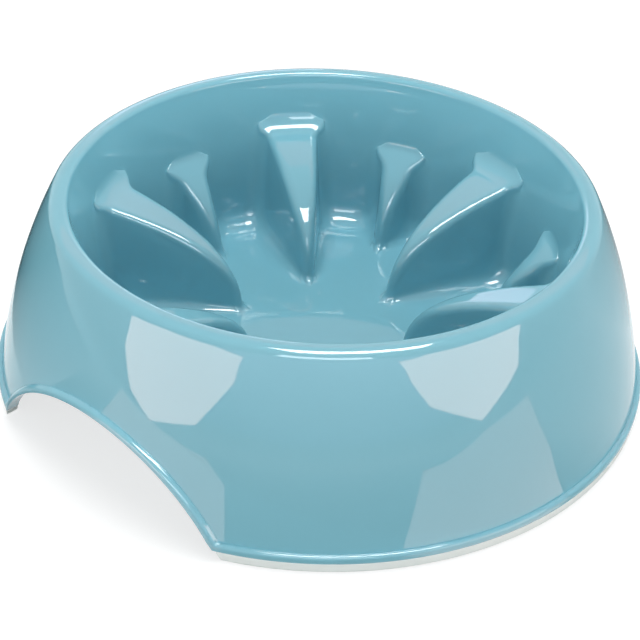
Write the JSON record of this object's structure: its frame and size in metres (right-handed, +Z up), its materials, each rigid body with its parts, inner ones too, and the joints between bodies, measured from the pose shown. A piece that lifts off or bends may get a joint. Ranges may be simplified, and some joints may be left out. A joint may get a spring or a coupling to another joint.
{
  "type": "slow feeder bowl",
  "caption": "Round slow feeder bowl: tall and short radial fins rise from its well, its flared hollow skirt has finger arches, and it stands on rubber foot strips.",
  "frame": {"origin": "on the bowl's axis, at the table that the bowl stands on", "axes": "+Z up along the bowl's axis; the finger arches face +Y and -Y; the foot strips lie on the +X and -X sides"},
  "size_m": [0.229, 0.2184, 0.0705],
  "materials": {
    "bowl": "polished compression-moulded melamine",
    "foot_strip": "matt moulded rubber"
  },
  "bodies": {
    "root": {"bowl": "bowl", "foot_strip_right": "foot_strip", "foot_strip_left": "foot_strip"}
  },
  "joints": []
}
